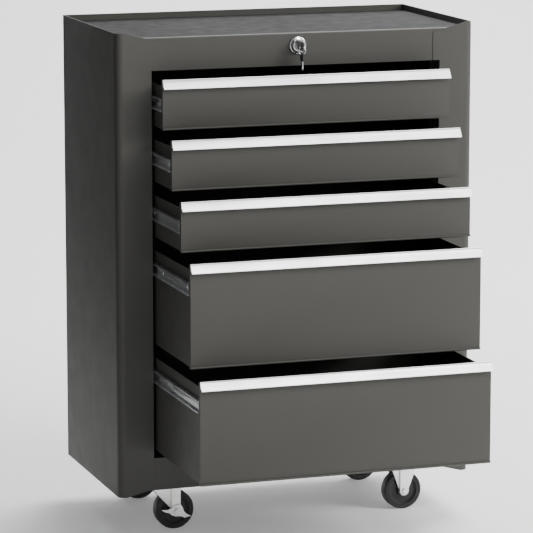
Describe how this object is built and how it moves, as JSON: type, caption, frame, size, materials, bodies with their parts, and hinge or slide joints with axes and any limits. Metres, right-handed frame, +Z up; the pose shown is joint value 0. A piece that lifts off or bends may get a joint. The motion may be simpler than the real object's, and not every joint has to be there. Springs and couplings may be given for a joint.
{
  "type": "rolling tool chest",
  "caption": "Upright sheet-steel tool chest on casters, with sliding drawers behind full-width metal pulls, a key lock and a recessed matted top.",
  "frame": {"origin": "middle of the base of the chest as stored, with its drawers drawn out in steps", "axes": "+X to the right facing the drawers, +Y to the back, +Z up"},
  "size_m": [0.616, 0.5778, 0.836],
  "materials": {
    "grey_paint": "satin",
    "brushed_aluminium": "brushed",
    "chrome": "polished",
    "bright_zinc": "zinc plated",
    "galvanised_steel": "galvanised",
    "mat_rubber": "ribbed",
    "wheel_rubber": "matte",
    "key_plastic": "moulded"
  },
  "bodies": {
    "cabinet": {"left_side_panel": "grey_paint", "right_side_panel": "grey_paint", "back_panel": "grey_paint", "base_pan": "grey_paint", "top_tray": "grey_paint", "top_mat": "mat_rubber", "header_rail": "grey_paint", "kick_rail": "grey_paint", "left_uprights": "galvanised_steel", "right_uprights": "galvanised_steel", "slide_rails": "galvanised_steel", "rail_screws": "galvanised_steel", "lock_housing": "chrome", "lock_nut": "galvanised_steel", "lock_bar_guides": "galvanised_steel", "caster_bolts": "bright_zinc", "swivel_plates": "bright_zinc", "rigid_forks": "bright_zinc", "rigid_axles": "bright_zinc"},
    "drawer_1": {"drawer_1_box": "grey_paint", "drawer_1_front": "grey_paint", "drawer_1_pull": "brushed_aluminium", "drawer_1_runners": "galvanised_steel"},
    "cages_1": {"drawer_1_ball_cages": "galvanised_steel"},
    "drawer_2": {"drawer_2_box": "grey_paint", "drawer_2_front": "grey_paint", "drawer_2_pull": "brushed_aluminium", "drawer_2_runners": "galvanised_steel"},
    "cages_2": {"drawer_2_ball_cages": "galvanised_steel"},
    "drawer_3": {"drawer_3_box": "grey_paint", "drawer_3_front": "grey_paint", "drawer_3_pull": "brushed_aluminium", "drawer_3_runners": "galvanised_steel"},
    "cages_3": {"drawer_3_ball_cages": "galvanised_steel"},
    "drawer_4": {"drawer_4_box": "grey_paint", "drawer_4_front": "grey_paint", "drawer_4_pull": "brushed_aluminium", "drawer_4_runners": "galvanised_steel"},
    "cages_4": {"drawer_4_ball_cages": "galvanised_steel"},
    "drawer_5": {"drawer_5_box": "grey_paint", "drawer_5_front": "grey_paint", "drawer_5_pull": "brushed_aluminium", "drawer_5_runners": "galvanised_steel"},
    "cages_5": {"drawer_5_ball_cages": "galvanised_steel"},
    "lock_core": {"lock_plug": "chrome", "lock_rod": "galvanised_steel", "key": "key_plastic"},
    "key_ring": {"key_ring": "chrome"},
    "spare_key": {"spare_key": "key_plastic"},
    "lock_bar": {"lock_bar": "galvanised_steel"},
    "swivel_front": {"swivel_fork_front": "bright_zinc", "swivel_axle_front": "bright_zinc"},
    "wheel_left_front": {"swivel_wheel_front": "wheel_rubber"},
    "brake_front": {"brake_lever_front": "bright_zinc"},
    "swivel_rear": {"swivel_fork_rear": "bright_zinc", "swivel_axle_rear": "bright_zinc"},
    "wheel_left_rear": {"swivel_wheel_rear": "wheel_rubber"},
    "brake_rear": {"brake_lever_rear": "bright_zinc"},
    "wheel_right_front": {"rigid_wheel_front": "wheel_rubber"},
    "wheel_right_rear": {"rigid_wheel_rear": "wheel_rubber"}
  },
  "joints": [
    {"name": "drawer_1_slide", "type": "slide", "parent": "cabinet", "child": "drawer_1", "axis": [0, -1, 0], "range_m": [-0.0483, 0.2017]},
    {"name": "cages_1_slide", "type": "slide", "parent": "cabinet", "child": "cages_1", "axis": [0, -1, 0], "range_m": [-0.02425, 0.10095]},
    {"name": "drawer_2_slide", "type": "slide", "parent": "cabinet", "child": "drawer_2", "axis": [0, -1, 0], "range_m": [-0.0966, 0.1534]},
    {"name": "cages_2_slide", "type": "slide", "parent": "cabinet", "child": "cages_2", "axis": [0, -1, 0], "range_m": [-0.0484, 0.0768]},
    {"name": "drawer_3_slide", "type": "slide", "parent": "cabinet", "child": "drawer_3", "axis": [0, -1, 0], "range_m": [-0.1449, 0.1051]},
    {"name": "cages_3_slide", "type": "slide", "parent": "cabinet", "child": "cages_3", "axis": [0, -1, 0], "range_m": [-0.07255, 0.05265]},
    {"name": "drawer_4_slide", "type": "slide", "parent": "cabinet", "child": "drawer_4", "axis": [0, -1, 0], "range_m": [-0.1932, 0.0568]},
    {"name": "cages_4_slide", "type": "slide", "parent": "cabinet", "child": "cages_4", "axis": [0, -1, 0], "range_m": [-0.0967, 0.0285]},
    {"name": "drawer_5_slide", "type": "slide", "parent": "cabinet", "child": "drawer_5", "axis": [0, -1, 0], "range_m": [-0.2415, 0.0085]},
    {"name": "cages_5_slide", "type": "slide", "parent": "cabinet", "child": "cages_5", "axis": [0, -1, 0], "range_m": [-0.12085, 0.00435]},
    {"name": "lock_turn", "type": "hinge", "parent": "cabinet", "child": "lock_core", "pos_m": [0, -0.0351, 0.8075], "axis": [0, 1, 0], "range_deg": [0, 90]},
    {"name": "lock_bar_lift", "type": "slide", "parent": "cabinet", "child": "lock_bar", "axis": [0, 0, 1], "range_m": [0, 0.01695]},
    {"name": "key_ring_swing", "type": "hinge", "parent": "lock_core", "child": "key_ring", "pos_m": [0, -0.0571, 0.8075], "axis": [1, 0, 0], "range_deg": [-45, 5]},
    {"name": "spare_key_swing", "type": "hinge", "parent": "key_ring", "child": "spare_key", "pos_m": [0, -0.0571, 0.79445], "axis": [1, 0, 0], "range_deg": [-10, 10]},
    {"name": "swivel_front_turn", "type": "hinge", "parent": "cabinet", "child": "swivel_front", "pos_m": [-0.221, 0.0219, 0.082], "axis": [0, 0, 1], "continuous": true},
    {"name": "wheel_left_front_spin", "type": "hinge", "parent": "swivel_front", "child": "wheel_left_front", "pos_m": [-0.199, 0.0219, 0.033], "axis": [0, 1, 0], "continuous": true},
    {"name": "brake_front_turn", "type": "hinge", "parent": "swivel_front", "child": "brake_front", "pos_m": [-0.199, 0.0219, 0.033], "axis": [0, 1, 0], "range_deg": [-20, 40]},
    {"name": "swivel_rear_turn", "type": "hinge", "parent": "cabinet", "child": "swivel_rear", "pos_m": [-0.221, 0.2319, 0.082], "axis": [0, 0, 1], "continuous": true},
    {"name": "wheel_left_rear_spin", "type": "hinge", "parent": "swivel_rear", "child": "wheel_left_rear", "pos_m": [-0.199, 0.2319, 0.033], "axis": [0, 1, 0], "continuous": true},
    {"name": "brake_rear_turn", "type": "hinge", "parent": "swivel_rear", "child": "brake_rear", "pos_m": [-0.199, 0.2319, 0.033], "axis": [0, 1, 0], "range_deg": [-20, 40]},
    {"name": "wheel_right_front_spin", "type": "hinge", "parent": "cabinet", "child": "wheel_right_front", "pos_m": [0.208, 0.0219, 0.033], "axis": [0, 1, 0], "continuous": true},
    {"name": "wheel_right_rear_spin", "type": "hinge", "parent": "cabinet", "child": "wheel_right_rear", "pos_m": [0.208, 0.2319, 0.033], "axis": [0, 1, 0], "continuous": true}
  ],
  "couplings": [
    {"joint": "cages_1_slide", "follows": "drawer_1_slide", "ratio": 0.5},
    {"joint": "cages_2_slide", "follows": "drawer_2_slide", "ratio": 0.5},
    {"joint": "cages_3_slide", "follows": "drawer_3_slide", "ratio": 0.5},
    {"joint": "cages_4_slide", "follows": "drawer_4_slide", "ratio": 0.5},
    {"joint": "cages_5_slide", "follows": "drawer_5_slide", "ratio": 0.5},
    {"joint": "lock_turn", "follows": "lock_bar_lift", "rad_per_m": 92.56}
  ]
}
